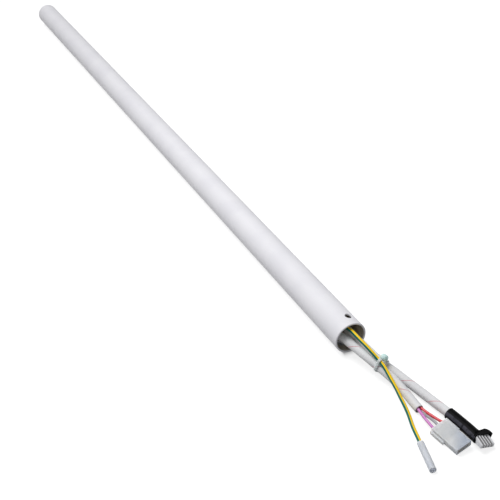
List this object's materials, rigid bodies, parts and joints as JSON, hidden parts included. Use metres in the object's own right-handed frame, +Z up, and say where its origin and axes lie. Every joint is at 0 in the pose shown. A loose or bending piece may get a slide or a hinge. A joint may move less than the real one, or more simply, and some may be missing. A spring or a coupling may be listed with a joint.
{
  "type": "ceiling fan downrod",
  "caption": "Straight white ceiling fan downrod with cross pin holes at its ends, threaded with a wiring loom of woven sleeves, an earth lead, crimp plugs and a cable tie.",
  "frame": {"origin": "on the floor line under the middle of the tube's length", "axes": "+X along the tube towards the motor end, where the leads come out; +Z up from the surface that it lies on"},
  "size_m": [1.0388, 0.0573, 0.028],
  "materials": {
    "powder_coat": "white powder coat, satin",
    "woven_sleeving": "woven glass fibre sleeving, white with a red tracer",
    "earth_insulation": "green insulation with a yellow stripe",
    "red_insulation": "smooth insulation",
    "grey_insulation": "smooth insulation",
    "violet_insulation": "smooth insulation",
    "thin_insulation": "thin insulation",
    "natural_nylon": "milky moulded nylon",
    "white_nylon": "white moulded nylon",
    "heat_shrink": "black shrunk tube, glossy",
    "tie_nylon": "pale moulded nylon",
    "tinned_brass": "bright tin plate",
    "clear_sleeve": "clear soft sleeve"
  },
  "bodies": {
    "rod": {"downrod_tube": "powder_coat"},
    "loom": {"motor_sleeve_run": "woven_sleeving", "motor_sleeve": "woven_sleeving", "light_sleeve_run": "woven_sleeving", "light_sleeve": "woven_sleeving", "earth_wire_run": "earth_insulation", "earth_wire": "earth_insulation", "cable_tie": "tie_nylon", "motor_wire_red": "red_insulation", "motor_wire_grey": "grey_insulation", "motor_wire_violet": "violet_insulation", "motor_plug": "natural_nylon", "motor_plug_contacts": "tinned_brass", "light_wires": "thin_insulation", "light_boot": "heat_shrink", "light_plug": "white_nylon", "light_plug_contacts": "tinned_brass", "earth_terminal": "tinned_brass", "ceiling_motor_wires": "thin_insulation", "ceiling_motor_plug": "natural_nylon", "ceiling_motor_contacts": "tinned_brass", "ceiling_light_wires": "thin_insulation", "ceiling_light_boot": "heat_shrink", "ceiling_light_plug": "white_nylon", "ceiling_light_contacts": "tinned_brass", "ceiling_earth_bullet": "tinned_brass"},
    "earth_sleeve": {"earth_terminal_sleeve": "clear_sleeve"}
  },
  "joints": [
    {"name": "loom_slide", "type": "slide", "parent": "rod", "child": "loom", "axis": [1, 0, 0], "range_m": [0, 0.04]},
    {"name": "earth_sleeve_slide", "type": "slide", "parent": "loom", "child": "earth_sleeve", "axis": [-0.9613, 0.2756, 0], "range_m": [0, 0.013]}
  ]
}
